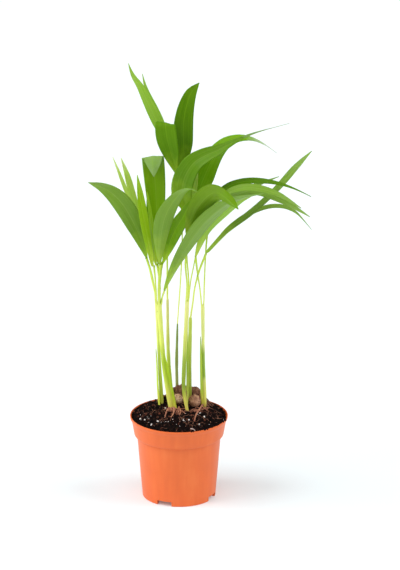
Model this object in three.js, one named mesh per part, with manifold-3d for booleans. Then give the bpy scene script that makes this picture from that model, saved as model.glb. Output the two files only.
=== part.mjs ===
import * as THREE from 'three';
import { mergeVertices } from 'three/addons/utils/BufferGeometryUtils.js';
import Module from 'manifold-3d';

// A young palm of seven seedlings in a 12 cm nursery pot.
// Millimetres, +Z up, with the origin on the flat pad under the middle of the pot's floor.
// -Y is the front. Each stem carries the petioles of its leaves, and a split leaf has two lobes.

// The pot
const POT_HEIGHT = 104;
const RIM_RADIUS = 60;
const RIM_FOOT_RADIUS = 54.6;
const RIM_HEIGHT = 24;
const NECK_RADIUS = 51.4;
const RIM_STEP = 5;
const FOOT_RADIUS = 44.8;
const WALL = 1.5;
const LIP = 1.7;
const FOOT_HEIGHT = 6;
const FOOT_RING_WIDTH = 5;
const FLOOR = 2.5;
const PAD_RADIUS = 14;
const POT_SIDES = 60;
const NOTCHES = 4;
const NOTCH_WIDTH = 19;
const NOTCH_TURN = 66;
const DRAIN_RADIUS = 3.5;
const DRAIN_PLACE = 32;

// The soil, a low mound that ends just under the lip
const GAP = 0.5;
const SOIL_EDGE = 101;
const SOIL_MOUND = 12;
const SOIL_SIDES = 48;
const SOIL_STEPS = 7;

// The tubes of the stems and petioles, and the thin section of the blades
const TUBE_SIDES = 8;
const TUBE_STEP = 26;
const BLADE_SIDES = 8;
const BLADE_STEP = 16;
const BLADE_THICKNESS = 0.9;
const BLADE_FOOT = 3.4;
const BLADE_TIP = 0.7;
const BLADE_FOLD = 0.07;

const finishes = {
  pot: { color: 0xea7440, roughness: 0.5, metalness: 0 },
  soil: { color: 0x33221e, roughness: 1, metalness: 0 },
  seed: { color: 0xb98a64, roughness: 0.85, metalness: 0 },
  root: { color: 0x8a5d4a, roughness: 0.8, metalness: 0 },
  stem: { color: 0xdfdf79, roughness: 0.45, metalness: 0 },
  scale: { color: 0xb7a86b, roughness: 0.7, metalness: 0 },
  leaf: { color: 0x5d8418, roughness: 0.4, metalness: 0 },
  young: { color: 0x9cbc3e, roughness: 0.4, metalness: 0 },
};

const wasm = await Module();
wasm.setup();

function makeMesh(name, geometry, finish) {
  const mesh = new THREE.Mesh(geometry, new THREE.MeshStandardMaterial(finishes[finish]));
  mesh.name = name;
  return mesh;
}

function closeUp(geometry) {
  geometry.deleteAttribute('normal');
  geometry.deleteAttribute('uv');
  return mergeVertices(geometry, 1e-4);
}

function toSolid(geometry) {
  const closed = closeUp(geometry);
  const vertProperties = new Float32Array(closed.attributes.position.array);
  const triVerts = new Uint32Array(closed.index.array);
  return new wasm.Manifold(new wasm.Mesh({ numProp: 3, vertProperties, triVerts }));
}

function toGeometry(solid) {
  const mesh = solid.getMesh();
  const geometry = new THREE.BufferGeometry();
  geometry.setAttribute('position', new THREE.BufferAttribute(mesh.vertProperties, 3));
  geometry.setIndex(new THREE.BufferAttribute(mesh.triVerts, 1));
  return geometry;
}

// A profile of [radius, height] pairs turned about the Z axis
function turned(profile, sides) {
  const points = profile.map(([radius, height]) => new THREE.Vector2(radius, height));
  const geometry = new THREE.LatheGeometry(points, sides);
  geometry.rotateX(Math.PI / 2);
  return geometry;
}

// The pot: a thin moulded cup with a deep flared rim, a raised floor on a foot ring,
// and a pad in the middle of the floor that stands level with the ring.
function potProfile() {
  const rimFoot = POT_HEIGHT - RIM_HEIGHT;
  const floorTop = FOOT_HEIGHT + FLOOR;
  return [
    [0, 0],
    [PAD_RADIUS, 0],
    [PAD_RADIUS + 1, FOOT_HEIGHT],
    [FOOT_RADIUS - FOOT_RING_WIDTH, FOOT_HEIGHT],
    [FOOT_RADIUS - FOOT_RING_WIDTH + 1, 0],
    [FOOT_RADIUS, 0],
    [NECK_RADIUS, rimFoot - 1],
    [RIM_FOOT_RADIUS, rimFoot],
    [RIM_RADIUS - LIP, POT_HEIGHT - 6],
    [RIM_RADIUS - 0.3, POT_HEIGHT - 3],
    [RIM_RADIUS, POT_HEIGHT - 1],
    [RIM_RADIUS - 0.5, POT_HEIGHT],
    [RIM_RADIUS - LIP, POT_HEIGHT],
    [RIM_FOOT_RADIUS - WALL, rimFoot + RIM_STEP],
    [NECK_RADIUS - WALL, rimFoot],
    [FOOT_RADIUS - WALL + 0.5, floorTop],
    [0, floorTop],
  ];
}

function buildPot() {
  let pot = toSolid(turned(potProfile(), POT_SIDES));
  for (let i = 0; i < NOTCHES; i++) {
    const turn = THREE.MathUtils.degToRad(NOTCH_TURN + (i * 360) / NOTCHES);
    const notch = new THREE.BoxGeometry(FOOT_RING_WIDTH * 3, NOTCH_WIDTH, FOOT_HEIGHT * 2);
    notch.translate(FOOT_RADIUS, 0, 0);
    notch.rotateZ(turn);
    const drain = new THREE.CylinderGeometry(DRAIN_RADIUS, DRAIN_RADIUS, FLOOR * 3, 16);
    drain.rotateX(Math.PI / 2);
    drain.translate(DRAIN_PLACE, 0, FOOT_HEIGHT + FLOOR / 2);
    drain.rotateZ(turn);
    pot = pot.subtract(toSolid(notch)).subtract(toSolid(drain));
  }
  return toGeometry(pot);
}

// The soil fills the pot and mounds up towards the middle.
function soilTop(x, y) {
  const edge = RIM_RADIUS - LIP;
  return SOIL_EDGE + SOIL_MOUND * (1 - (x * x + y * y) / (edge * edge));
}

function buildSoil() {
  const rimFoot = POT_HEIGHT - RIM_HEIGHT;
  const slope = (RIM_RADIUS - LIP - RIM_FOOT_RADIUS + WALL) / (RIM_HEIGHT - RIM_STEP);
  const edge = RIM_FOOT_RADIUS - WALL + slope * (SOIL_EDGE - rimFoot - RIM_STEP) - GAP;
  const profile = [
    [0, FOOT_HEIGHT + FLOOR + GAP],
    [FOOT_RADIUS - WALL - GAP, FOOT_HEIGHT + FLOOR + GAP],
    [NECK_RADIUS - WALL - GAP, rimFoot],
    [RIM_FOOT_RADIUS - WALL - GAP, rimFoot + RIM_STEP],
    [edge, SOIL_EDGE],
  ];
  for (let i = 1; i <= SOIL_STEPS; i++) {
    const radius = edge * (1 - i / SOIL_STEPS);
    profile.push([radius, soilTop(radius, 0)]);
  }
  return closeUp(turned(profile, SOIL_SIDES));
}

// A closed cylinder bent along a smooth route. place(vertex angle, share of the length, frame)
// returns the vertex's offset from the route.
function bent(route, sides, steps, faces, twist, offsetAt) {
  const curve = new THREE.CatmullRomCurve3(route.map((point) => new THREE.Vector3(...point)));
  const geometry = new THREE.CylinderGeometry(1, 1, 1, sides, steps);
  const position = geometry.attributes.position;
  const frames = framesAlong(curve, steps, faces, twist);
  for (let i = 0; i < position.count; i++) {
    const share = position.getY(i) + 0.5;
    const radius = Math.hypot(position.getX(i), position.getZ(i));
    const angle = Math.atan2(position.getX(i), position.getZ(i));
    const { centre, across, up } = frames[Math.round(share * steps)];
    const [wide, high] = offsetAt(share, angle);
    const vertex = centre.clone();
    vertex.addScaledVector(across, wide * radius);
    vertex.addScaledVector(up, high * radius);
    position.setXYZ(i, vertex.x, vertex.y, vertex.z);
  }
  return closeUp(geometry);
}

// Frames carried along a curve: "up" starts towards faces and turns with the curve,
// plus an even twist in degrees over the whole length.
function framesAlong(curve, steps, faces, twist) {
  const frames = [];
  const up = new THREE.Vector3(...faces);
  for (let i = 0; i <= steps; i++) {
    const tangent = curve.getTangentAt(i / steps);
    up.addScaledVector(tangent, -up.dot(tangent)).normalize();
    const turned = up.clone().applyAxisAngle(tangent, THREE.MathUtils.degToRad((twist * i) / steps));
    const across = new THREE.Vector3().crossVectors(turned, tangent);
    frames.push({ centre: curve.getPointAt(i / steps), across, up: turned });
  }
  return frames;
}

function routeLength(route) {
  return new THREE.CatmullRomCurve3(route.map((point) => new THREE.Vector3(...point))).getLength();
}

// A stem, petiole or root: a round tube whose radius changes evenly between its given radii.
function tube(route, radii) {
  const steps = Math.max(3, Math.round(routeLength(route) / TUBE_STEP));
  const radiusAt = (share) => {
    const place = share * (radii.length - 1);
    const low = Math.min(Math.floor(place), radii.length - 2);
    return THREE.MathUtils.lerp(radii[low], radii[low + 1], place - low);
  };
  const offsetAt = (share, angle) => [radiusAt(share) * Math.cos(angle), radiusAt(share) * Math.sin(angle)];
  return bent(route, TUBE_SIDES, steps, [0.1, -1, 0.1], 0, offsetAt);
}

// A leaf blade: a thin ribbon, narrow at its foot, widest at a given share of its length,
// drawn out to a tip, and folded a little along its midrib.
function blade({ route, width, widest, taper = 1, faces, twist = 0, fold = BLADE_FOLD, step = BLADE_STEP }) {
  const steps = Math.max(7, Math.round(routeLength(route) / step));
  const widthAt = (share) => {
    if (share < widest) {
      return BLADE_FOOT + (width - BLADE_FOOT) * Math.sin((Math.PI / 2) * (share / widest));
    }
    const fall = Math.cos((Math.PI / 2) * ((share - widest) / (1 - widest)));
    return BLADE_TIP + (width - BLADE_TIP) * Math.max(fall, 0) ** taper;
  };
  const offsetAt = (share, angle) => {
    const half = widthAt(share) / 2;
    const thick = Math.min(BLADE_THICKNESS, half) / 2;
    const rise = fold * half * 2 * Math.abs(Math.cos(angle));
    return [half * Math.cos(angle), thick * Math.sin(angle) + rise];
  };
  return bent(route, BLADE_SIDES, steps, faces, twist, offsetAt);
}

// A seed: a ball stretched to three radii
function seed(centre, radii) {
  const geometry = new THREE.SphereGeometry(1, 16, 10);
  geometry.scale(...radii);
  geometry.translate(...centre);
  return closeUp(geometry);
}

// A root lies on the soil: its route gives x, y and the height above the soil.
function root(route, radii) {
  const lie = ([x, y, lift]) => [x, y, soilTop(x, y) + radii[0] + GAP + lift];
  return tube(route.map(lie), radii);
}

const seeds = [
  { name: 'seed_1', centre: [-1, 14, 119.4], radii: [6.7, 6.5, 6.8] },
  { name: 'seed_2', centre: [19.4, 5, 120.4], radii: [7.6, 7.4, 8.4] },
  { name: 'seed_3', centre: [6, 28, 119], radii: [8, 6.8, 8.2] },
];

const roots = [
  { name: 'root_1', route: [[29, 3, 4], [26.5, -4, 1.5], [22.5, -13, 0.3], [19, -34, 0.3]], radii: [1.3, 0.8] },
  { name: 'root_2', route: [[-12, -6, 1.5], [-15, -14, 0.5], [-17, -27, 0.3]], radii: [1.1, 0.7] },
  { name: 'root_3', route: [[-6, -6, 1.5], [-6, -16, 0.5], [-9, -27, 0.3]], radii: [1.1, 0.7] },
  { name: 'root_4', route: [[0, -4, 1.2], [2, -13, 0.5], [1, -23, 0.3]], radii: [1, 0.6] },
];

const stems = [
  { name: 'stem_1', route: [[-21, 13, 112], [-22, 12, 130], [-25, 9, 190], [-27, 8, 245]], radii: [2.6, 1.9, 1.8, 2.1] },
  { name: 'stem_2', route: [[-9, 2, 114.6], [-13, 2, 137], [-19, 1, 177], [-24, 0, 248]], radii: [4.3, 3, 2.6, 2.9] },
  { name: 'stem_3', route: [[-9, 22, 112.2], [-13, 22, 172], [-14, 22, 244]], radii: [2.7, 2.1, 1.5] },
  { name: 'stem_4', route: [[-2, 35, 110], [-3, 35, 155], [-2, 35, 207]], radii: [1.6, 1.9, 1] },
  { name: 'stem_5', route: [[10, -9, 114], [8, -8, 121], [6, -5, 135], [6, -4, 160], [10, -2, 250]], radii: [1.6, 2.4, 2.5, 2.2, 2.5] },
  { name: 'stem_6', route: [[13.5, 17, 113], [13, 14, 142], [13, 9, 171], [14, 6, 226]], radii: [2.4, 2.3, 2.2, 2] },
  { name: 'stem_7', route: [[31, 12, 111], [31, 12, 133], [30, 12, 163], [29, 11, 240]], radii: [2.7, 1.9, 1.8, 2.3] },
];

// Dry scale leaves that stand against the stems
const scales = [
  { name: 'scale_leaf_1', route: [[-24.5, 10, 114], [-25.6, 9, 130], [-28, 6.5, 188]], faces: [0.8, 0.6, 0] },
  { name: 'scale_leaf_2', route: [[-4, -3.4, 115], [-8.5, -3.2, 140], [-17, -3.6, 182]], faces: [-0.7, 0.7, 0] },
  { name: 'scale_leaf_3', route: [[10.5, 0.5, 136], [11, 1, 165], [10.5, 1, 215]], faces: [-0.7, -0.7, 0] },
  { name: 'scale_leaf_4', route: [[28.3, 7.2, 112.6], [27.5, 8, 135], [26.5, 9, 203]], faces: [0.6, 0.8, 0] },
];

const leaves = [
  {
    name: 'leaf_01',
    petiole: { route: [[-14, 22, 244.6], [-14, 21, 310], [-13, 20, 347], [-4, 16, 411]], radii: [1.2, 1, 1.4] },
    left_lobe: {
      route: [[-3.5, 14, 414], [-9, 11, 438], [-14.4, 9, 461], [-16.3, 13, 479], [-15.6, 21, 474], [-15.4, 30, 458]],
      width: 26, widest: 0.55, taper: 0.6, step: 8, faces: [-0.15, -1, 0],
    },
    right_lobe: {
      route: [[0.5, 17.5, 413.5], [5.5, 18.5, 436], [5.5, 20, 467], [8, 24, 490], [15, 34, 509], [25, 46, 518]],
      width: 24, widest: 0.42, taper: 0.65, faces: [0.1, -1, 0],
    },
  },
  {
    name: 'leaf_02',
    petiole: { route: [[-2, 35, 207.6], [3, 36, 285], [4, 40, 330], [1, 44, 385], [-7, 48.5, 426]], radii: [0.8, 0.8, 1.3] },
    left_lobe: {
      route: [[-9.5, 46.5, 430], [-29, 50, 472], [-48, 55, 512], [-57, 58, 526], [-61, 60, 538]],
      width: 15, widest: 0.42, faces: [0.6, -0.8, 0.3],
    },
    right_lobe: {
      route: [[-6, 51.5, 429], [-24, 57, 468], [-39, 61, 502], [-44, 62, 524]],
      width: 12, widest: 0.42, faces: [0.8, -0.6, 0.3],
    },
  },
  {
    name: 'leaf_03',
    petiole: { route: [[10.8, -0.4, 250.6], [12, 6, 276], [9, 9, 330], [15, 9.5, 359]], radii: [0.9, 1, 1.4] },
    left_lobe: {
      route: [[13.5, 6.5, 362], [4, 1, 392], [8, -2, 415], [21, -3, 435], [47, 1, 447], [84, 8, 464], [134, 12, 478]],
      width: 28, widest: 0.2, taper: 3, faces: [-0.2, -1, 0], twist: -72,
    },
    right_lobe: {
      route: [[18, 12.5, 361.5], [23, 14, 385], [31, 15, 408], [45, 16, 437], [62, 18, 453], [84, 17, 457], [104, 14, 450], [119, 11, 440]],
      width: 25, widest: 0.32, taper: 2.1, faces: [0.1, -1, 0], twist: -80,
    },
  },
  {
    name: 'leaf_04',
    petiole: { route: [[-23, 1.5, 248.8], [-23, 8, 269], [-26, 12.5, 294.5]], radii: [0.8, 1, 1.4] },
    left_lobe: {
      route: [[-28.5, 15.5, 297], [-31, 20, 340], [-36, 22, 378], [-38, 25, 394]],
      width: 14, widest: 0.45, faces: [-0.3, -1, 0],
    },
    right_lobe: {
      route: [[-24.5, 10.5, 297.5], [-26, 12, 345], [-28.5, 16, 396], [-31, 17, 429], [-31.5, 9, 437], [-31, 3, 428], [-30, 1, 413]],
      width: 27, widest: 0.8, faces: [0, -1, 0], step: 6,
    },
  },
  {
    name: 'leaf_05',
    petiole: { route: [[-28.3, 7.4, 245.7], [-30, 5, 270], [-34, 5, 289], [-39, 4, 306.5]], radii: [0.9, 1, 1.5] },
    blade: {
      route: [[-39.5, 4, 309], [-50, -1, 343], [-68, -8, 381], [-88, -15, 403], [-109, -25, 415]],
      width: 24, widest: 0.52, faces: [0.3, -0.9, 0.3],
    },
  },
  {
    name: 'leaf_06',
    petiole: { route: [[-26, 8.8, 245.9], [-35, 13, 285], [-43, 14, 325], [-48, 15, 346]], radii: [0.8, 0.8, 1.2] },
    left_lobe: {
      route: [[-49.5, 12.4, 349.4], [-57, 11, 375], [-68, 13, 402], [-80, 17, 433]],
      width: 8, widest: 0.45, faces: [0.8, -0.5, 0.3],
    },
    right_lobe: {
      route: [[-47, 18, 348.6], [-53, 22, 371], [-62, 26, 403], [-70, 30, 427]],
      width: 10, widest: 0.5, faces: [0.6, -0.8, 0.2],
    },
  },
  {
    name: 'leaf_07',
    petiole: { route: [[-26.9, -1.8, 249.3], [-28, -5, 273], [-30, -4, 298.6]], radii: [0.8, 0.9, 1.2] },
    left_lobe: {
      route: [[-32, -6.8, 301.5], [-38, -10, 339], [-44, -11, 374], [-50, -9, 419]],
      width: 12, widest: 0.5, taper: 0.8, faces: [0.5, -0.85, 0],
    },
    right_lobe: {
      route: [[-28, -1.6, 301], [-33, 0, 350], [-38, 3, 393]],
      width: 9, widest: 0.5, faces: [0.8, -0.6, 0],
    },
  },
  {
    name: 'leaf_08',
    petiole: { route: [[-24, -2, 250], [-24, -3, 273], [-21.5, -4.5, 302]], radii: [1.4, 1.8, 2.3] },
    left_lobe: {
      route: [[-23, -7, 305.5], [-22, -20, 340], [-16, -38, 377], [0, -66, 414], [13, -86, 429], [23, -100, 430]],
      width: 23, widest: 0.45, taper: 0.9, faces: [-0.1, 1, 0.3], twist: 10,
    },
    right_lobe: {
      route: [[-18.6, -3.4, 305.5], [-6, -7, 344], [4, -10, 363], [16, -12, 390]],
      width: 19, widest: 0.5, faces: [-0.3, -1, 0.2],
    },
  },
  {
    name: 'leaf_09',
    petiole: { route: [[8.7, -3, 250.8], [10, -5, 277], [8, -6, 300], [11, -8, 330]], radii: [1, 1, 1.4] },
    blade: {
      route: [[11, -8.5, 332.5], [16, -19, 363], [27, -37, 393], [44, -58, 414], [59, -75, 412], [72, -84, 402]],
      width: 25, widest: 0.52, taper: 0.55, faces: [-0.1, 1, 0.3], twist: -55, fold: 0.1, step: 11,
    },
  },
  {
    name: 'leaf_10',
    petiole: { route: [[-21, -1, 249.4], [-20, -3, 259], [-17.5, -4, 267.5]], radii: [0.9, 1, 1.2] },
    blade: {
      route: [[-17, -4.5, 270], [-3, -15, 306], [15, -28, 342], [35, -40, 373], [65, -52, 401], [103, -60, 414]],
      width: 28, widest: 0.58, faces: [-0.5, 0.8, 0.3],
    },
  },
  {
    name: 'leaf_11',
    petiole: { route: [[28, 10.2, 241], [25.5, 6, 268], [22, 0, 295], [20.5, -3, 311]], radii: [1, 0.9, 1.3] },
    blade: {
      route: [[21, -4, 313.5], [33, -9, 345], [54, -18, 371], [77, -28, 393], [90, -32, 401]],
      width: 16, widest: 0.42, faces: [-0.5, 0.8, 0.4],
    },
  },
  {
    name: 'leaf_12',
    petiole: { route: [[14, 6, 226.9], [17, -1, 250], [20, -6, 275], [26, -6, 298], [33, 3, 313]], radii: [1.1, 1, 1.4] },
    upper_lobe: {
      route: [[34, 3, 316], [58, 6, 341], [90, 9, 366], [120, 11, 395], [140, 12, 419], [161, 13, 442]],
      width: 13, widest: 0.72, faces: [-0.5, -0.4, 0.7],
    },
    lower_lobe: {
      route: [[37, 7, 315.5], [62, 15, 342], [90, 22, 360], [119, 30, 365], [140, 35, 357], [162, 40, 331]],
      width: 10, widest: 0.4, faces: [-0.3, -0.3, 0.9],
    },
  },
  {
    name: 'leaf_13',
    petiole: { route: [[11.6, -3, 251], [14, 1, 275], [19, 7, 300], [24, 8, 326], [32, 4, 350]], radii: [0.8, 0.8, 1.3] },
    upper_lobe: {
      route: [[31.5, 2, 353], [44, -9, 380], [62, -16, 400], [86, -23, 408], [118, -30, 403], [148, -36, 386]],
      width: 12, widest: 0.55, faces: [-1, -0.1, 0.4],
    },
    lower_lobe: {
      route: [[34.5, 6, 352.5], [46, 0, 370], [68, -5, 391], [92, -9, 399], [126, -15, 388], [159, -20, 369]],
      width: 12, widest: 0.5, faces: [-0.8, -0.5, 0.4],
    },
  },
  {
    name: 'leaf_14',
    petiole: { route: [[30.3, 12.1, 241], [32, 13, 295], [34, 12, 328], [37, 12, 356]], radii: [0.9, 0.9, 1.3] },
    upper_lobe: {
      route: [[37, 9.5, 359], [43, 10, 381], [60, 9, 398], [84, 6, 406], [112, -6, 409], [137, -18, 406], [160, -25, 397]],
      width: 9, widest: 0.33, taper: 1.5, faces: [-0.8, -0.5, 0.3],
    },
    lower_lobe: {
      route: [[39.5, 14.8, 358.5], [60, 20, 374], [90, 24, 392], [122, 28, 404]],
      width: 8, widest: 0.45, faces: [-0.5, -0.5, 0.7],
    },
  },
];

const SCALE_SHAPE = { width: 3.6, widest: 0.35, taper: 0.8, fold: 0.15 };
const SPEAR = { route: [[17, 9.5, 372], [19, 8.5, 392], [23, 9, 420]], width: 6, widest: 0.5, faces: [0, -1, 0] };

const group = new THREE.Group();
const potGroup = new THREE.Group();
potGroup.add(makeMesh('pot', buildPot(), 'pot'));
potGroup.add(makeMesh('soil', buildSoil(), 'soil'));
group.add(potGroup);

const baseGroup = new THREE.Group();
for (const { name, centre, radii } of seeds) {
  baseGroup.add(makeMesh(name, seed(centre, radii), 'seed'));
}
for (const { name, route, radii } of roots) {
  baseGroup.add(makeMesh(name, root(route, radii), 'root'));
}
for (const { name, route, radii } of stems) {
  baseGroup.add(makeMesh(name, tube(route, radii), 'stem'));
}
for (const { name, route, faces } of scales) {
  baseGroup.add(makeMesh(name, blade({ route, faces, ...SCALE_SHAPE }), 'scale'));
}
group.add(baseGroup);

for (const { name, petiole, ...blades } of leaves) {
  const leaf = new THREE.Group();
  leaf.add(makeMesh(`${name}_petiole`, tube(petiole.route, petiole.radii), 'stem'));
  for (const [part, shape] of Object.entries(blades)) {
    leaf.add(makeMesh(`${name}_${part}`, blade(shape), 'leaf'));
  }
  group.add(leaf);
}
group.add(makeMesh('unopened_leaf', blade(SPEAR), 'young'));

export default group;
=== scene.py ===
import math
import random

import bmesh
import bpy
from mathutils import Euler, Matrix, Vector, noise


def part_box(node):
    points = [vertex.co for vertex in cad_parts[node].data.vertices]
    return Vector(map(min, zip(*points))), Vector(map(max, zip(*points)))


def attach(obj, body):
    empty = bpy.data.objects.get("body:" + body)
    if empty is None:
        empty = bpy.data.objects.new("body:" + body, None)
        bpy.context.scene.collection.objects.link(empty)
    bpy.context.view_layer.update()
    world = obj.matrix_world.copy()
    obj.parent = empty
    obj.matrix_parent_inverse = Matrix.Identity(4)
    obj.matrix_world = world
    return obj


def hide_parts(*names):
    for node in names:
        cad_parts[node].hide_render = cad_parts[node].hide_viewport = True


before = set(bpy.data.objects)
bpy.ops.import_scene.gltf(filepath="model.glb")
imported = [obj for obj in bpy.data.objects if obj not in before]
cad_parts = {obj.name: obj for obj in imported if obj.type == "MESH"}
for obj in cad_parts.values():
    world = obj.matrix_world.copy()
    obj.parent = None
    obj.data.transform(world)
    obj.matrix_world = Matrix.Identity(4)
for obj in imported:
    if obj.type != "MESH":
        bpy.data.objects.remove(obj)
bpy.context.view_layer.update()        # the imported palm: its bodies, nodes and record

scene = bpy.context.scene
scene.view_settings.view_transform = "Standard"

# The camera: a long lens that looks down a little on the front of the plant,
# so that the rim shows as an ellipse and the uprights stay upright.
MM = 0.001
CAMERA_TILT = math.radians(20.5)
CAMERA_DISTANCE = 9
CAMERA_AIM = Vector((25.8, 0, 273.6)) * MM
bpy.ops.object.camera_add(
    location=CAMERA_AIM + Vector((0, -math.cos(CAMERA_TILT), math.sin(CAMERA_TILT))) * CAMERA_DISTANCE,
    rotation=(math.pi / 2 - CAMERA_TILT, 0, 0),
)
scene.camera = bpy.context.object
scene.camera.data.sensor_fit = "VERTICAL"
scene.camera.data.sensor_height = 36
scene.camera.data.lens = 467

# The studio: a white light table that runs on past the view, in white surroundings, under three
# wide soft suns from the left, the right and the front, with a tall softbox low down at the left.


def to_linear(hex_colour):
    """An sRGB colour such as 0xEA7440 as a linear RGBA."""
    channels = [(hex_colour >> shift & 255) / 255 for shift in (16, 8, 0)]
    return [c / 12.92 if c <= 0.04045 else ((c + 0.055) / 1.055) ** 2.4 for c in channels] + [1]


def add_node(material, kind, inputs=None, stops=None, **settings):
    """Adds one shader node. Inputs are values, or sockets to link; stops are a colour ramp's."""
    tree = material.node_tree
    made = tree.nodes.new("ShaderNode" + kind)
    for name, value in settings.items():
        setattr(made, name, value)
    for place, hex_colour in stops or ():
        marks = made.color_ramp.elements
        mark = marks[0] if place == stops[0][0] else marks[-1] if place == stops[-1][0] else marks.new(place)
        mark.position = place
        mark.color = to_linear(hex_colour)
    for name, value in (inputs or {}).items():
        if isinstance(value, bpy.types.NodeSocket):
            tree.links.new(value, made.inputs[name])
        else:
            made.inputs[name].default_value = value
    return made


def new_material(name, **shader_inputs):
    """A material with its shader's own sockets set; keywords use _ for the spaces."""
    material = bpy.data.materials.new(name)
    material.use_nodes = True
    shader = material.node_tree.nodes["Principled BSDF"]
    for word, value in shader_inputs.items():
        shader.inputs[word.replace("_", " ").title().replace("Ior", "IOR")].default_value = value
    return material, shader


def link(material, output, target):
    material.node_tree.links.new(output, target)


FLOOR_SIZE = 14
WHITE = (1, 1, 1, 1)
SURROUNDINGS_STRENGTH = 0.36
bpy.ops.mesh.primitive_plane_add(size=FLOOR_SIZE)
floor = bpy.context.object
floor.name = "floor"

# Matt opal acrylic with a faint glow of its own: white, a little blue in the shade, nearly smooth.
opal, shader = new_material(
    "white_light_table", base_color=to_linear(0xE8F1F4), roughness=0.9, emission_color=WHITE,
    emission_strength=0.12,
)
grain = add_node(opal, "TexNoise", {"Scale": 900.0, "Detail": 2.0})
bump = add_node(opal, "Bump", {"Height": grain.outputs["Fac"], "Strength": 0.02, "Distance": 0.0002})
link(opal, bump.outputs["Normal"], shader.inputs["Normal"])
floor.data.materials.append(opal)

world = bpy.data.worlds.new("white_surroundings")
scene.world = world
world.use_nodes = True
world.node_tree.nodes["Background"].inputs["Color"].default_value = WHITE
world.node_tree.nodes["Background"].inputs["Strength"].default_value = SURROUNDINGS_STRENGTH

# Each sun: its name, the place it shines from, its strength, and its spread in degrees.
SUNS = (
    ("left_light", (-1.5, -0.35, 1.7), 1.45, 42),
    ("right_light", (1.5, -0.2, 1.6), 1.2, 42),
    ("front_light", (-0.3, -1.3, 2.0), 0.8, 60),
)
for light_name, place, strength, spread in SUNS:
    bpy.ops.object.light_add(type="SUN", location=place)
    light = bpy.context.object
    light.name = light_name
    light.data.energy = strength
    light.data.angle = math.radians(spread)
    light.rotation_euler = (CAMERA_AIM - Vector(place)).to_track_quat("-Z", "Y").to_euler()

SOFTBOX_PLACE = (-0.9, 0.12, 0.3)
SOFTBOX_HEADING = Vector((0.9, -0.12, -0.2))
SOFTBOX_WIDTH = 0.3
SOFTBOX_HEIGHT = 0.8
SOFTBOX_POWER = 1.8
bpy.ops.object.light_add(type="AREA", location=SOFTBOX_PLACE)
softbox = bpy.context.object
softbox.name = "left_softbox"
softbox.data.shape = "RECTANGLE"
softbox.data.size = SOFTBOX_WIDTH
softbox.data.size_y = SOFTBOX_HEIGHT
softbox.data.energy = SOFTBOX_POWER
softbox.rotation_euler = SOFTBOX_HEADING.to_track_quat("-Z", "Y").to_euler()

# The pot: one thin injection moulding in terracotta-coloured polypropylene. A ring is pulled up
# along the wall's section, given as radii and heights in mm, over the lip and back down inside.
# The four notches in the foot ring and the four drain holes are then cut out.
POT_SIDES = 160
POT_SECTION = [
    (13.4, 0), (14, 0.4), (15, 5.5), (15.6, 6), (39.3, 6), (39.9, 5.6), (40.8, 0.5), (41.3, 0),
    (44.2, 0), (44.8, 0.6), (46.8, 24), (49, 50), (51.1, 76.4), (51.2, 77.4), (51.3, 78.4),
    (51.9, 79), (53.4, 79.2), (54.3, 79.6), (54.8, 80.4), (55.1, 82), (56.5, 90), (57.7, 97),
    (58.3, 98.6), (59.3, 100), (59.8, 101.6), (60, 103), (59.8, 103.7), (59.3, 104), (58.9, 103.9),
    (58.5, 103.4), (57.7, 100.5), (53.2, 85.6), (52.4, 83.6), (50.2, 79.8), (49.8, 78.4),
    (44, 9.4), (43.2, 8.5),
]
FOOT_RADIUS = 44.8
NOTCH_TURNS = (66, 156, 246, 336)
NOTCH_SIZE = (15, 19, 12)
DRAIN_RADIUS = 3.5
DRAIN_DEPTH = 10
DRAIN_PLACE = 32
POT_FLOOR_HEIGHT = 7
SMOOTH_UP_TO = math.radians(35)


def deselect():
    bpy.ops.object.select_all(action="DESELECT")


def apply_modifier(piece, kind, **settings):
    """Adds a modifier to a piece and applies it at once."""
    bpy.context.view_layer.objects.active = piece
    modifier = piece.modifiers.new(kind.lower(), kind)
    for name, value in settings.items():
        setattr(modifier, name, value)
    bpy.ops.object.modifier_apply(modifier=modifier.name)


def settle(piece, name):
    """Names a piece, lays its place into its mesh and leaves it at the origin."""
    deselect()
    piece.select_set(True)
    bpy.context.view_layer.objects.active = piece
    bpy.ops.object.transform_apply(location=True, rotation=True, scale=True)
    piece.name = name
    piece.data.name = name
    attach(piece, "root")
    return piece


def cut(piece, cutter):
    """Cuts one solid out of another and throws the cutter away."""
    apply_modifier(piece, "BOOLEAN", object=cutter, operation="DIFFERENCE", solver="EXACT")
    bpy.data.objects.remove(cutter)


def first_ring(sides, section):
    """Adds the ring that a section starts with, and leaves it selected in edit mode."""
    deselect()
    radius, height = section[0]
    bpy.ops.mesh.primitive_circle_add(vertices=sides, radius=radius * MM, location=(0, 0, height * MM))
    bpy.ops.object.mode_set(mode="EDIT")
    bpy.ops.mesh.select_mode(type="EDGE")
    bpy.ops.mesh.select_all(action="SELECT")
    return bpy.context.object


def pull_along(section):
    """Extrudes the selected ring from each radius and height of a section to the next."""
    for (radius, height), (next_radius, next_height) in zip(section, section[1:]):
        rise = (0, 0, (next_height - height) * MM)
        bpy.ops.mesh.extrude_region_move(TRANSFORM_OT_translate={"value": rise})
        growth = next_radius / radius
        bpy.ops.transform.resize(value=(growth, growth, 1), center_override=(0, 0, next_height * MM))


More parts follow.
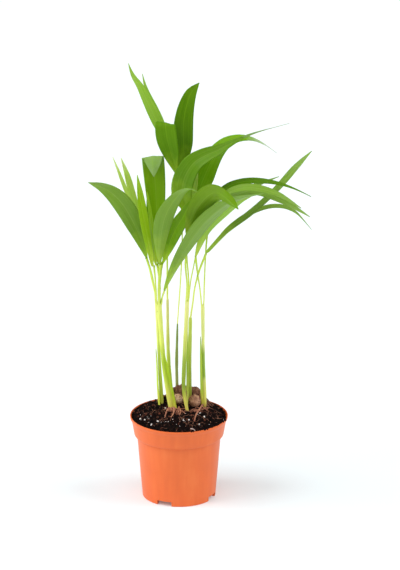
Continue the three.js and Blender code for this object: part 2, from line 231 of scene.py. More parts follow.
pot = first_ring(POT_SIDES, POT_SECTION)
pull_along(POT_SECTION)
bpy.ops.mesh.edge_face_add()
bpy.ops.mesh.select_all(action="DESELECT")
bpy.ops.mesh.select_non_manifold()
bpy.ops.mesh.edge_face_add()
bpy.ops.mesh.select_all(action="SELECT")
bpy.ops.mesh.normals_make_consistent(inside=False)
bpy.ops.object.mode_set(mode="OBJECT")
for turn in NOTCH_TURNS:
    angle = math.radians(turn)
    outward = Vector((math.cos(angle), math.sin(angle), 0))
    bpy.ops.mesh.primitive_cube_add(size=1, location=outward * FOOT_RADIUS * MM, rotation=(0, 0, angle))
    notch = bpy.context.object
    notch.scale = Vector(NOTCH_SIZE) * MM
    cut(pot, notch)
    drain_place = (outward * DRAIN_PLACE + Vector((0, 0, POT_FLOOR_HEIGHT))) * MM
    bpy.ops.mesh.primitive_cylinder_add(
        vertices=24, radius=DRAIN_RADIUS * MM, depth=DRAIN_DEPTH * MM, location=drain_place
    )
    cut(pot, bpy.context.object)
settle(pot, "nursery_pot")
bpy.ops.object.shade_smooth_by_angle(angle=SMOOTH_UP_TO)

# Moulded polypropylene: satin, faintly waxy, a little uneven in colour, with a fine
# spark-eroded grain from the mould and faint flow streaks up the wall.
plastic, shader = new_material("terracotta_polypropylene", roughness=0.42, ior=1.49)
place = add_node(plastic, "TexCoord").outputs["Object"]
cloud = add_node(plastic, "TexNoise", {"Vector": place, "Scale": 28.0, "Detail": 3.0, "Roughness": 0.55})
stretched = add_node(plastic, "Mapping", {"Vector": place, "Scale": (1.0, 1.0, 0.12)})
flow = add_node(plastic, "TexNoise", {"Vector": stretched.outputs["Vector"], "Scale": 120.0, "Detail": 2.0})
both = add_node(plastic, "Math", {0: cloud.outputs["Fac"], 1: flow.outputs["Fac"]}, operation="MULTIPLY")
tint = add_node(
    plastic, "ValToRGB", {"Fac": both.outputs["Value"]},
    [(0.05, 0xE26426), (0.25, 0xE96A28), (0.45, 0xED722F)],
)
link(plastic, tint.outputs["Color"], shader.inputs["Base Color"])
grain = add_node(plastic, "TexNoise", {"Vector": place, "Scale": 1400.0, "Detail": 1.0})
worn = add_node(plastic, "MapRange", {"Value": cloud.outputs["Fac"], "To Min": 0.36, "To Max": 0.5})
link(plastic, worn.outputs["Result"], shader.inputs["Roughness"])
bump = add_node(plastic, "Bump", {"Height": grain.outputs["Fac"], "Strength": 0.12, "Distance": 0.0002})
link(plastic, bump.outputs["Normal"], shader.inputs["Normal"])
pot.data.materials.append(plastic)
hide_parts("pot")

# The soil: peat and bark potting mix, pressed in to just under the lip and heaped up
# behind the seeds. One turned solid, roughened by noise, with loose crumbs laid over it.
SOIL_SIDES = 150
SOIL_RINGS = 56
SOIL_EDGE = 57.0
SOIL_EDGE_HEIGHT = 102.6
SOIL_FLAT = 101.5
SOIL_MOUND = 11.0
BACK_RISE = 0.8
SOIL_SECTION = [
    (42.6, 9.2), (49.2, 79.5), (52.3, 85.5), (SOIL_EDGE - 0.5, 100), (SOIL_EDGE, SOIL_FLAT),
]
# Each heap: its place, half its width and depth, and its height, all in mm.
HEAPS = ((2, 28, 17, 10, 19), (23, 22, 10, 9, 15), (-20, 18, 8, 8, 6))
# Each layer of lumps: how many to the mm, and their height in mm.
LUMPS = ((0.16, 1.5), (0.5, 1.1))


def soil_height(x, y):
    """The height of the soil in mm at a place in mm, lumps included."""
    edge_share = min(1, math.hypot(x, y) / SOIL_EDGE)
    height = SOIL_EDGE_HEIGHT + BACK_RISE * max(0, y / SOIL_EDGE) + SOIL_MOUND * (1 - edge_share**2)
    for heap_x, heap_y, wide, deep, tall in HEAPS:
        height += tall * math.exp(-(((x - heap_x) / wide) ** 2) - ((y - heap_y) / deep) ** 2)
    lumps = 0
    for layer, (fineness, tall) in enumerate(LUMPS):
        lumps += noise.noise(Vector((x, y, layer * 9)) * fineness) * tall
    smoother_at_edge = min(1, (1 - edge_share) * 6 + 0.25)
    return height + lumps * smoother_at_edge


soil = first_ring(SOIL_SIDES, SOIL_SECTION)
bpy.ops.mesh.edge_face_add()
surface_rings = [(SOIL_EDGE * (1 - step / SOIL_RINGS), SOIL_FLAT) for step in range(1, SOIL_RINGS)]
pull_along(SOIL_SECTION + surface_rings)
bpy.ops.mesh.select_all(action="SELECT")
bpy.ops.mesh.normals_make_consistent(inside=False)
bpy.ops.object.mode_set(mode="OBJECT")
settle(soil, "potting_soil")
for vertex in soil.data.vertices:
    if vertex.co.z > (SOIL_FLAT - 0.1) * MM:
        vertex.co.z = soil_height(vertex.co.x / MM, vertex.co.y / MM) * MM
bpy.ops.object.shade_smooth()

# Damp peat: nearly black, with brown and reddish specks of bark, rough all over.
peat, shader = new_material("damp_peat", roughness=0.9, ior=1.45, specular_ior_level=0.08)
place = add_node(peat, "TexCoord").outputs["Object"]
grains = add_node(peat, "TexVoronoi", {"Vector": place, "Scale": 700.0, "Randomness": 1.0})
clods = add_node(peat, "TexNoise", {"Vector": place, "Scale": 260.0, "Detail": 6.0, "Roughness": 0.75})
tint = add_node(
    peat, "ValToRGB", {"Fac": clods.outputs["Fac"]},
    [(0.3, 0x060303), (0.47, 0x0D0706), (0.6, 0x1E100E), (0.74, 0x3E251E)],
)
link(peat, tint.outputs["Color"], shader.inputs["Base Color"])
height = add_node(peat, "Math", {0: clods.outputs["Fac"], 1: grains.outputs["Distance"]}, operation="ADD")
bump = add_node(peat, "Bump", {"Height": height.outputs["Value"], "Strength": 0.9, "Distance": 0.0012})
link(peat, bump.outputs["Normal"], shader.inputs["Normal"])
soil.data.materials.append(peat)
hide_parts("soil")

# Loose crumbs: about fifteen hundred small jagged clods of the same peat on the surface, in three
# tones. One lump is modelled for each tone, then copied, turned and resized.
CRUMB_COUNT = 1500
# Each tone: its name, its share of the crumbs, and its darkest and lightest colour.
CRUMB_TONES = (
    ("dark", 0.55, 0x080404, 0x150B0A),
    ("brown", 0.33, 0x190C0A, 0x351C16),
    ("red", 0.12, 0x3E1F19, 0x70402F),
)


def scatter(count, seed, reach=SOIL_EDGE):
    """Random places on the soil in mm, even over its area."""
    dice = random.Random(seed)
    places = []
    for _ in range(count):
        radius = reach * math.sqrt(dice.random())
        angle = dice.uniform(0, math.tau)
        places.append((radius * math.cos(angle), radius * math.sin(angle)))
    return places


def lump_mesh(seed, detail):
    """The mesh of one small jagged lump, about 1 mm across either way."""
    dice = random.Random(seed)
    deselect()
    bpy.ops.mesh.primitive_ico_sphere_add(subdivisions=detail, radius=0.5 * MM)
    lump = bpy.context.object
    for vertex in lump.data.vertices:
        vertex.co *= dice.uniform(0.65, 1.25)
    mesh = lump.data
    bpy.data.objects.remove(lump)
    return mesh


def join_copies(name, mesh, placings):
    """One piece from many copies of a mesh, each placed by a matrix."""
    shape = bmesh.new()
    for matrix in placings:
        before = len(shape.verts)
        shape.from_mesh(mesh)
        shape.verts.ensure_lookup_table()
        for vertex in shape.verts[before:]:
            vertex.co = matrix @ vertex.co
    made = bpy.data.meshes.new(name)
    shape.to_mesh(made)
    shape.free()
    piece = bpy.data.objects.new(name, made)
    scene.collection.objects.link(piece)
    return settle(piece, name)


def scatter_lumps(name, mesh, places, smallest, largest, sunk, seed):
    """Copies of a lump on the soil at places in mm, turned at random and sunk by a share of their size.
    Their sizes run from the smallest to the largest in mm, and most are small."""
    dice = random.Random(seed)
    placings = []
    for x, y in places:
        size = smallest + (largest - smallest) * dice.random() ** 2
        height = soil_height(x, y) + size * (0.5 - sunk)
        turn = Euler([dice.uniform(0, math.tau) for _ in range(3)])
        shape = Vector([size * dice.uniform(0.7, 1.2) for _ in range(3)])
        placings.append(Matrix.LocRotScale(Vector((x, y, height)) * MM, turn, shape))
    return join_copies(name, mesh, placings)


for number, (tone, share, dark, light) in enumerate(CRUMB_TONES):
    places = scatter(int(CRUMB_COUNT * share), seed=11 + number, reach=SOIL_EDGE - 0.8)
    lump = lump_mesh(seed=3 + number, detail=1)
    crumbs = scatter_lumps(
        f"soil_crumbs_{tone}", lump, places, smallest=0.8, largest=3.2, sunk=0.25, seed=21 + number
    )
    # Peat and bark crumbs: dull and rough, each with its own tone from a slow noise.
    clod, shader = new_material(f"{tone}_peat_crumb", roughness=0.9, ior=1.45, specular_ior_level=0.12)
    place = add_node(clod, "TexCoord").outputs["Object"]
    tone_noise = add_node(clod, "TexNoise", {"Vector": place, "Scale": 300.0, "Detail": 4.0})
    tint = add_node(clod, "ValToRGB", {"Fac": tone_noise.outputs["Fac"]}, [(0.35, dark), (0.65, light)])
    link(clod, tint.outputs["Color"], shader.inputs["Base Color"])
    bump = add_node(clod, "Bump", {"Height": tone_noise.outputs["Fac"], "Strength": 0.6, "Distance": 0.0006})
    link(clod, bump.outputs["Normal"], shader.inputs["Normal"])
    crumbs.data.materials.append(clod)

# The spill: dark crumbs of the same peat that lie over the lip, at the right of the front.
# They are lumps like the loose crumbs, laid along a stretch of the soil's edge.
SPILL_COUNT = 150
SPILL_TURNS = (-78, -8)


def edge_places(count, turns, inner, outer, dice):
    """Random places in mm along the soil's edge, between two turns in degrees, and from so far
    inside the edge to so far outside it in mm."""
    places = []
    for _ in range(count):
        angle = math.radians(dice.uniform(*turns))
        radius = SOIL_EDGE + dice.uniform(inner, outer)
        places.append((radius * math.cos(angle), radius * math.sin(angle)))
    return places


dice = random.Random(61)
places = edge_places(SPILL_COUNT, SPILL_TURNS, -0.5, 2.3, dice)
lump = lump_mesh(seed=5, detail=1)
spill = scatter_lumps("spilled_crumbs", lump, places, smallest=1.2, largest=3.2, sunk=-0.05, seed=62)
spill.data.materials.append(bpy.data.materials["dark_peat_crumb"])

# The edge: finer dark crumbs of peat, heaped against the wall all the way round.
EDGE_COUNT = 640
places = edge_places(EDGE_COUNT, (0, 360), -2.4, 0.5, dice)
lump = lump_mesh(seed=6, detail=1)
edge = scatter_lumps("edge_crumbs", lump, places, smallest=0.8, largest=2.2, sunk=0.1, seed=63)
edge.data.materials.append(bpy.data.materials["dark_peat_crumb"])

# Perlite: a few dozen white grains of puffed volcanic glass mixed into the peat. Some lie
# anywhere on the soil and the others in clusters towards the front.
PERLITE_COUNT = 18
# Each cluster: its place and spread in mm, and how many grains are in it.
PERLITE_CLUSTERS = ((-40, -22, 6, 9), (-27, -36, 6, 6), (-10, -38, 7, 5), (8, -34, 5, 4), (38, -16, 6, 2))
dice = random.Random(31)
places = scatter(PERLITE_COUNT, seed=32, reach=52)
for cluster_x, cluster_y, spread, count in PERLITE_CLUSTERS:
    places += [(dice.gauss(cluster_x, spread), dice.gauss(cluster_y, spread / 2)) for _ in range(count)]
lump = lump_mesh(seed=8, detail=1)
grains_of_perlite = scatter_lumps(
    "perlite_grains", lump, places, smallest=0.9, largest=3.2, sunk=0.2, seed=41
)

# Perlite is puffed glass with burst bubbles: white, matt and pitted, and painted greyer towards the bottom of
# each pit as painted shade.
perlite, shader = new_material("puffed_perlite", roughness=0.75)
place = add_node(perlite, "TexCoord").outputs["Object"]
pits = add_node(perlite, "TexVoronoi", {"Vector": place, "Scale": 1800.0})
# The tone follows the depth of the pits: greyer at each pit's bottom, which is painted shade.
tint = add_node(perlite, "ValToRGB", {"Fac": pits.outputs["Distance"]}, [(0.0, 0xCDBDB4), (0.5, 0xF4EAE4)])
link(perlite, tint.outputs["Color"], shader.inputs["Base Color"])
bump = add_node(perlite, "Bump", {"Height": pits.outputs["Distance"], "Strength": 0.5, "Distance": 0.0003})
link(perlite, bump.outputs["Normal"], shader.inputs["Normal"])
grains_of_perlite.data.materials.append(perlite)

# Fibres: short strands of root and husk that lie on the soil and thickly over the heap.
# All are thin bevelled paths in one curve, made a mesh at the end.
SOIL_FIBRES = 170
HEAP_FIBRES = 700


def strands(name, routes, radius, sides=1):
    """One mesh from many thin tapered strands; each route is a list of places in mm."""
    curve = bpy.data.curves.new(name, "CURVE")
    curve.dimensions = "3D"
    curve.bevel_depth = radius * MM
    curve.bevel_resolution = sides
    curve.use_fill_caps = True
    for route in routes:
        spline = curve.splines.new("POLY")
        spline.points.add(len(route) - 1)
        for i, (point, place) in enumerate(zip(spline.points, route)):
            point.co = (*(Vector(place) * MM), 1)
            point.radius = 1 - 0.55 * i / (len(route) - 1)
    deselect()
    piece = bpy.data.objects.new(name, curve)
    scene.collection.objects.link(piece)
    piece.select_set(True)
    bpy.context.view_layer.objects.active = piece
    bpy.ops.object.convert(target="MESH")
    bpy.ops.object.shade_smooth()
    return settle(piece, name)


def wandering_route(x, y, heading, length, lift, dice, steps=6):
    """A route in mm that wanders over the soil from a place, in a heading in radians."""
    route = []
    for step in range(steps + 1):
        height = soil_height(x, y) + lift * (0.6 + 0.8 * math.sin(math.pi * step / steps))
        route.append((x, y, height))
        heading += dice.uniform(-0.5, 0.5)
        x += math.cos(heading) * length / steps
        y += math.sin(heading) * length / steps
    return route


def fibre_material(name, dark, light):
    """Dry plant fibre: matt, streaked along its length, from a dark to a light tone."""
    fibre, shader = new_material(name, roughness=0.7, ior=1.45)
    place = add_node(fibre, "TexCoord").outputs["Object"]
    streak = add_node(fibre, "TexNoise", {"Vector": place, "Scale": 420.0, "Detail": 3.0})
    tint = add_node(fibre, "ValToRGB", {"Fac": streak.outputs["Fac"]}, [(0.35, dark), (0.68, light)])
    link(fibre, tint.outputs["Color"], shader.inputs["Base Color"])
    bump = add_node(fibre, "Bump", {"Height": streak.outputs["Fac"], "Strength": 0.4, "Distance": 0.0003})
    link(fibre, bump.outputs["Normal"], shader.inputs["Normal"])
    return fibre


husk_fibre = fibre_material("dry_husk_fibre", 0x5C3024, 0xAC785C)
root_skin = fibre_material("root_skin", 0x8A4C3A, 0xC48A6A)

dice = random.Random(51)
routes = []
for x, y in scatter(SOIL_FIBRES, seed=52, reach=52):
    heading = dice.uniform(0, math.tau)
    length = dice.uniform(4, 11)
    routes.append(wandering_route(x, y, heading, length, 0.4, dice))
fibres = strands("soil_fibres", routes, radius=0.28)
fibres.data.materials.append(husk_fibre)

routes = []
for _ in range(HEAP_FIBRES):
    heap_x, heap_y, wide, deep, _tall = dice.choice(HEAPS[:2])
    x = heap_x + dice.gauss(0, 0.55) * wide
    y = heap_y + dice.gauss(0, 0.5) * deep
    heading = dice.uniform(0, math.tau)
    length = dice.uniform(5, 12)
    lift = dice.uniform(0.3, 2.2)
    routes.append(wandering_route(x, y, heading, length, lift, dice))
heap = strands("husk_heap_fibres", routes, radius=0.5)
heap.data.materials.append(husk_fibre)

# The roots: four brown surface roots run out over the soil from the stems' feet. Each is a round
# skin on its route in the frame. Fine side roots spread over the soil from five places near them.
RING_CORNERS = 8
TUBE_FINENESS = 5
TUBE_LUMPS = 90
SHEATH_TURN = 2.4
ROOT_COUNT = 4
# Each foot: its place and how far its side roots spread, in mm.
ROOT_FEET = ((-9, -3, 9), (-4, -6, 8), (27, 2, 9), (21, -8, 6), (4, -12, 6))
SIDE_ROOTS_EACH = 13


def cad_rings(node):
    """The rings of corners of a ribbon or tube in the frame, in metres, from its lower end up."""
    shape = bmesh.new()
    shape.from_mesh(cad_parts[node].data)
    bmesh.ops.remove_doubles(shape, verts=shape.verts, dist=1e-6)
    shape.verts.index_update()
    ring = [min((v for v in shape.verts if len(v.link_edges) == RING_CORNERS), key=lambda v: v.co.z)]
    seen = set(ring)
    rings = []
    while True:
        around = {edge.other_vert(corner) for corner in ring for edge in corner.link_edges} - seen
        ring = sorted(around, key=lambda corner: corner.index)
        if len(ring) < RING_CORNERS:
            break
        seen |= around
        rings.append([corner.co.copy() for corner in ring])
    shape.free()
    return rings


def middle(points):
    return sum(points, Vector()) / len(points)


def tube_path(node):
    """The middle line of a tube in the frame and its radius at each point, from its lower end up."""
    rings = cad_rings(node)
    line = [middle(ring) for ring in rings]
    radii = []
    for ring, centre in zip(rings, line):
        radii.append(sum((corner - centre).length for corner in ring) / len(ring))
    return line, radii


def between(values, place):
    """A value on the smooth curve through a list of values; place 1.5 is half way from 1 to 2."""
    i = min(int(place), len(values) - 2)
    t = place - i
    a, b = values[max(i - 1, 0)], values[i]
    c, d = values[i + 1], values[min(i + 2, len(values) - 1)]
    return 0.5 * (2 * b + (c - a) * t + (2 * a - 5 * b + 4 * c - d) * t**2 + (3 * b - a - 3 * c + d) * t**3)


def round_stem(name, line, radii, wobble, lip=0):
    """A fine round stem along a line with given radii, closed at both ends. Its wobble is its
    unevenness, and its lip the height of the edge of the sheath wound round it, both in metres."""
    curve = bpy.data.curves.new(name, "CURVE")
    curve.dimensions = "3D"
    curve.bevel_depth = 1
    curve.bevel_resolution = 6
    curve.use_fill_caps = True
    spline = curve.splines.new("POLY")
    count = (len(line) - 1) * TUBE_FINENESS + 1
    spline.points.add(count - 1)
    for i, point in enumerate(spline.points):
        point.co = (*between(line, i / TUBE_FINENESS), 1)
        point.radius = between(radii, i / TUBE_FINENESS)
    deselect()
    piece = bpy.data.objects.new(name, curve)
    scene.collection.objects.link(piece)
    piece.select_set(True)
    bpy.context.view_layer.objects.active = piece
    bpy.ops.object.convert(target="MESH")
    for vertex in piece.data.vertices:
        lump = noise.noise(vertex.co * TUBE_LUMPS + Vector((len(name), 0, 0))) * wobble
        share = (vertex.co.z - line[0].z) / max(line[-1].z - line[0].z, MM)
        centre = between(line, max(0, min(1, share)) * (len(line) - 1))
        turn = math.atan2(vertex.co.y - centre.y, vertex.co.x - centre.x) + share * SHEATH_TURN
        wrapped = lip if math.sin(turn) > 0 else 0
        vertex.co += vertex.normal * (lump + wrapped)
    bpy.ops.object.shade_smooth()
    return settle(piece, name)


for number in range(1, ROOT_COUNT + 1):
    node = f"root_{number}"
    line, radii = tube_path(node)
    start = line[0] + (line[0] - line[1]).normalized() * 2 * MM + Vector((0, 0, MM))
    root = round_stem(f"surface_root_{number}", [start] + line, [radii[0]] + radii, wobble=0.3 * MM)
    root.data.materials.append(root_skin)
    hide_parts(node)

routes = []
for x, y, spread in ROOT_FEET:
    for _ in range(SIDE_ROOTS_EACH):
        heading = -math.pi / 2 + dice.uniform(-1.3, 1.3)
        start_x, start_y = x + dice.gauss(0, 1.5), y + dice.gauss(0, 1.5)
        length = dice.uniform(0.7, 1.7) * spread
        routes.append(wandering_route(start_x, start_y, heading, length, 0.9, dice))
side_roots = strands("fine_side_roots", routes, radius=0.5)
side_roots.data.materials.append(root_skin)

# The dry curl: one pale scrap of leaf base, curled up on the soil against the front lip.
# A rounder strand than the fibres, bent to an oval that rises a little as it turns.
CURL_PLACE = (17, -55, 104)
CURL_RADIUS = 2.6
CURL_STRETCH = 1.4
CURL_TURNS = range(20, 260, 24)
CURL_RISE_PER_DEGREE = 0.02
route = []
for turn in CURL_TURNS:
    angle = math.radians(turn)
    route.append((
        CURL_PLACE[0] + CURL_RADIUS * math.cos(angle),
        CURL_PLACE[1] + CURL_RADIUS * CURL_STRETCH * math.sin(angle),
        CURL_PLACE[2] + CURL_RISE_PER_DEGREE * (turn - CURL_TURNS[0]),
    ))
curl = strands("dry_curl", [route], radius=0.75, sides=3)
curl.data.materials.append(fibre_material("pale_dry_curl", 0xC9A79C, 0xF0DCD6))

# The seeds: three round palm seeds still in the dry fibrous husk, which has split and frayed.
# Each is a ball pulled to the seed's box and roughened, with strands of husk wound over it.
HUSK_STRANDS = 46
HUSK_RIDGES = 9
RIDGE_HEIGHT = 0.18
DENTS_PER_METRE = 260
DENT_DEPTH = 0.7
HUSK_INSET = 0.5
# The husk of each seed, from its darkest creases to its palest ridges; the darkening in the creases is
# painted shade.
HUSK_TONES = {
    1: (0xA47658, 0xCC9E7A, 0xE2BC98, 0xEED0B0),
    2: (0x7A4E3A, 0xA07052, 0xBE9070, 0xD2AC8C),
    3: (0x5C3628, 0x7E5240, 0x9A6C52, 0xB08668),
}


def husk_route(centre, radii, dice, steps=9):
    """A strand in mm that winds over an egg from one pole towards the other."""
    axis_turn = dice.uniform(0, math.tau)
    start, end = sorted((dice.uniform(0.1, 2.2), dice.uniform(0.9, 3.0)))
    drift = dice.uniform(-0.7, 0.7)
    route = []
    for step in range(steps + 1):
        fall = start + (end - start) * step / steps
        turn = axis_turn + drift * step / steps
        out = Vector((math.sin(fall) * math.cos(turn), math.cos(fall), math.sin(fall) * math.sin(turn)))
        lift = 1.02 + 0.03 * math.sin(step)
        route.append([c + o * r * lift for c, o, r in zip(centre, out, radii)])
    return route


def husk_material(name, tones):
    """Dry palm husk: matt and fibrous along the seed, in four tones from the creases up, darkest where the
    grain sinks into creases as painted shade.
    """
    skin, shader = new_material(name, roughness=0.68, ior=1.45)
    place = add_node(skin, "TexCoord").outputs["Object"]
    turned = add_node(
        skin, "Mapping", {"Vector": place, "Rotation": (0.5, 0.3, 0.0), "Scale": (1.0, 0.22, 1.0)}
    )
    grain = add_node(skin, "TexNoise", {"Vector": turned.outputs["Vector"], "Scale": 520.0, "Detail": 4.0})
    patch = add_node(skin, "TexNoise", {"Vector": place, "Scale": 130.0, "Detail": 2.0})
    both = add_node(skin, "Math", {0: grain.outputs["Fac"], 1: patch.outputs["Fac"]}, operation="MULTIPLY")
    # The tone rises with the same grain that raises the bump, so the creases are darker: painted shade.
    tint = add_node(skin, "ValToRGB", {"Fac": both.outputs["Value"]}, list(zip((0.1, 0.2, 0.3, 0.42), tones)))
    link(skin, tint.outputs["Color"], shader.inputs["Base Color"])
    bump = add_node(skin, "Bump", {"Height": grain.outputs["Fac"], "Strength": 0.6, "Distance": 0.0006})
    link(skin, bump.outputs["Normal"], shader.inputs["Normal"])
    return skin


for number, tones in HUSK_TONES.items():
    node = f"seed_{number}"
    low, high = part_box(node)
    centre = (low + high) / 2
    deselect()
    bpy.ops.mesh.primitive_uv_sphere_add(segments=40, ring_count=24, radius=1, location=centre)
    seed = bpy.context.object
    seed.scale = (high - low) / 2
    settle(seed, f"husked_{node}")
    for vertex in seed.data.vertices:
        out = (vertex.co - centre).normalized()
        wander = 3 * noise.noise(out * 2)
        ridges = math.sin(math.atan2(out.z, out.x) * HUSK_RIDGES + wander) * RIDGE_HEIGHT
        dents = noise.noise(vertex.co * DENTS_PER_METRE) * DENT_DEPTH
        vertex.co += out * (ridges * (1 - abs(out.y)) + dents - HUSK_INSET) * MM
    bpy.ops.object.shade_smooth()
    seed.data.materials.append(husk_material(f"dry_palm_husk_{number}", tones))
    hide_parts(node)
    egg = [(high - low)[axis] / 2 / MM - HUSK_INSET for axis in range(3)]
    routes = [husk_route(centre / MM, egg, dice) for _ in range(HUSK_STRANDS)]
    husk = strands(f"husk_strands_{number}", routes, radius=0.26)
    husk.data.materials.append(husk_fibre)

# The stems: seven slender stems, each a roll of smooth leaf sheaths, pale yellow where they
# were shaded and greener in patches. A sheath's edge runs up and round each one.
SUNK = 6 * MM
STEM_CAP = 3 * MM
STEM_WOBBLE = 0.25 * MM
SHEATH_LIP = 0.28 * MM
# The tints of each stem at heights in mm.
STEM_TINTS = {
    # Stem 1's tints are painted lighter and yellower, as painted light on a stem that lies in shade.
    "stem_1": [(110, 0xD9CE60), (125, 0xBCD044), (180, 0xCCDE54), (215, 0xE9EE84), (250, 0xE6EC80)],
    "stem_2": [
        (110, 0xE6DF6A), (135, 0xE4E262), (150, 0xC3D83A), (175, 0xB4CE2E), (200, 0xE2EE66), (250, 0xE8EF7E),
    ],
    "stem_3": [(110, 0xC6D04C), (160, 0xC2D83F), (200, 0xD2D66E), (245, 0xDCD98C)],
    "stem_4": [(110, 0xB7A662), (130, 0xAAB36D), (165, 0x8FA052), (205, 0x7F9349)],
    "stem_5": [
        (112, 0xDCCF62), (128, 0xCFCB52), (140, 0x8FA823), (175, 0x9DB534), (210, 0xD6DD6A), (250, 0xEDEC94),
    ],
    "stem_6": [(110, 0xD8CB66), (130, 0xA9BD3F), (175, 0xB0C244), (225, 0xC4D452)],
    "stem_7": [
        (110, 0xD9B25C), (116, 0xE8E05A), (145, 0xDDE07A), (152, 0x98B53A), (178, 0x9DBA40), (192, 0xE4E98A),
        (245, 0xE8EC90),
    ],
}
HEIGHT_RANGE = (100, 260)


def living_stem(name, tints, height_range):
    """The waxy skin of a living stem, tinted by height in mm and streaked along its length."""
    skin, shader = new_material(name, roughness=0.36, ior=1.42, subsurface_weight=0.22)
    shader.inputs["Subsurface Radius"].default_value = (0.003, 0.003, 0.0008)
    shader.inputs["Subsurface Scale"].default_value = 0.4
    low, high = height_range
    place = add_node(skin, "TexCoord").outputs["Object"]
    long_grain = add_node(skin, "Mapping", {"Vector": place, "Scale": (1.0, 1.0, 0.06)})
    streak = add_node(
        skin, "TexNoise", {"Vector": long_grain.outputs["Vector"], "Scale": 900.0, "Detail": 2.0}
    )
    patch = add_node(skin, "TexNoise", {"Vector": place, "Scale": 45.0, "Detail": 2.0})
    upright = add_node(skin, "SeparateXYZ", {"Vector": place}).outputs["Z"]
    share = add_node(
        skin, "MapRange", {"Value": upright, "From Min": low * MM, "From Max": high * MM}, clamp=True
    ).outputs["Result"]
    waver = add_node(skin, "Math", {0: patch.outputs["Fac"], 1: 0.12, 2: share}, operation="MULTIPLY_ADD")
    level = add_node(skin, "Math", {0: waver.outputs["Value"], 1: 0.06}, operation="SUBTRACT")
    stops = [((height - low) / (high - low), tone) for height, tone in tints]
    tint = add_node(skin, "ValToRGB", {"Fac": level.outputs["Value"]}, stops)
    shade = add_node(skin, "MapRange", {"Value": streak.outputs["Fac"], "To Min": 0.86, "To Max": 1.1})
    streaked = add_node(
        skin, "VectorMath", {0: tint.outputs["Color"], "Scale": shade.outputs["Result"]}, operation="SCALE"
    )
    link(skin, streaked.outputs["Vector"], shader.inputs["Base Color"])
    bump = add_node(skin, "Bump", {"Height": streak.outputs["Fac"], "Strength": 0.25, "Distance": 0.0003})
    link(skin, bump.outputs["Normal"], shader.inputs["Normal"])
    return skin


stem_tops = {}
for node, tints in STEM_TINTS.items():
    line, radii = tube_path(node)
    stem_tops[node] = line[-1]
    down = (line[0] - line[1]).normalized()
    up = (line[-1] - line[-2]).normalized()
    line = [line[0] + down * SUNK] + line + [line[-1] + up * STEM_CAP]
    radii = [radii[0] * 0.9] + radii + [radii[-1] * 0.35]
    stem = round_stem(f"sheathed_{node}", line, radii, STEM_WOBBLE, SHEATH_LIP)
    stem.data.materials.append(living_stem(f"skin_of_{node}", tints, HEIGHT_RANGE))
    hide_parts(node)

# The petioles: one thin stalk for each leaf, of the same waxy skin as the stems. It comes out of
# the sheaths at the top of the nearest stem and ends inside the foot of its blade.
LEAF_COUNT = 14
PETIOLE_TINTS = [(200, 0xECF088), (260, 0xE2EE6C), (300, 0xC8E04A), (345, 0xB2D034), (430, 0x98BC2C)]
PETIOLE_RANGE = (200, 440)
PETIOLE_WOBBLE = 0.1 * MM
# How far a petiole starts below its stem's top, and how far below its own line it comes out, in mm.
PETIOLE_START = Vector((0, 0, 14))
PETIOLE_SAG = Vector((0, 0, 3))
petiole_skin = living_stem("petiole_skin", PETIOLE_TINTS, PETIOLE_RANGE)
petiole_tops = {}
for number in range(1, LEAF_COUNT + 1):
    node = f"leaf_{number:02d}_petiole"
    line, radii = tube_path(node)
    top = min(stem_tops.values(), key=lambda place: (place - line[0]).length)
    petiole_tops[node] = (line[-1], (line[-1] - line[-2]).normalized(), radii[-1])
    line = [top - PETIOLE_START * MM, top + (line[0] - top) * 0.6 - PETIOLE_SAG * MM] + line
    radii = [radii[0] * 0.7, radii[0]] + radii
    petiole = round_stem(f"leaf_{number:02d}_stalk", line, radii, PETIOLE_WOBBLE)
    petiole.data.materials.append(petiole_skin)
    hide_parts(node)

# The blades: thin, smooth, ribbed ribbons, folded a little along the midrib. Most leaves are split
# in two lobes. Each is a fine grid laid on the rows of its ribbon in the frame, then given a
# thickness, with the upper side in one material and the paler under side in another.
BLADE_COLUMNS = 16
ROW_FINENESS = 3
BLADE_THICKNESS = 0.4 * MM
PLEATS = 5
PLEAT_DEPTH = 0.12 * MM
MIDRIB_DEPTH = 0.32 * MM
MIDRIB_WIDTH = 0.09
RIB_REACH = 0.2
FULL_RELIEF_WIDTH = 4 * MM
CUP = 1.4
SLOPE_STEP = 0.2
WAVE_COUNTS = (1.2, 2.6)
WAVE_HEIGHTS = (0.3, 0.8)
# The foot of a blade: how far down its stalk in mm, and its half width there as a share of the stalk's.
FOOT_SHAPE = ((-1, 1.1), (6, 0.95), (16, 0.75), (30, 0.35))
FOOT_ROWS = len(FOOT_SHAPE)


def ribbon_rows(node):
    """The left edge, right edge and rib of a ribbon in the frame, from its foot to its tip."""
    left, right, rib = [], [], []
    for ring in cad_rings(node):
        a, b = max(((p, q) for p in ring for q in ring), key=lambda pair: (pair[0] - pair[1]).length)
        if left and (a - left[-1]).length > (b - left[-1]).length:
            a, b = b, a
        across = (b - a).normalized()
        centre = (a + b) / 2
        reach = RIB_REACH * (b - a).length
        near = [corner for corner in ring if abs((corner - centre).dot(across)) < reach]
        left.append(a)
        right.append(b)
        rib.append(middle(near))
    i = len(rib) // 2
    along = rib[i + 1] - rib[i]
    up = (left[i] + right[i]) / 2 - rib[i]
    if (right[i] - left[i]).dot(up.cross(along)) < 0:
        left, right = right, left
    return left, right, rib


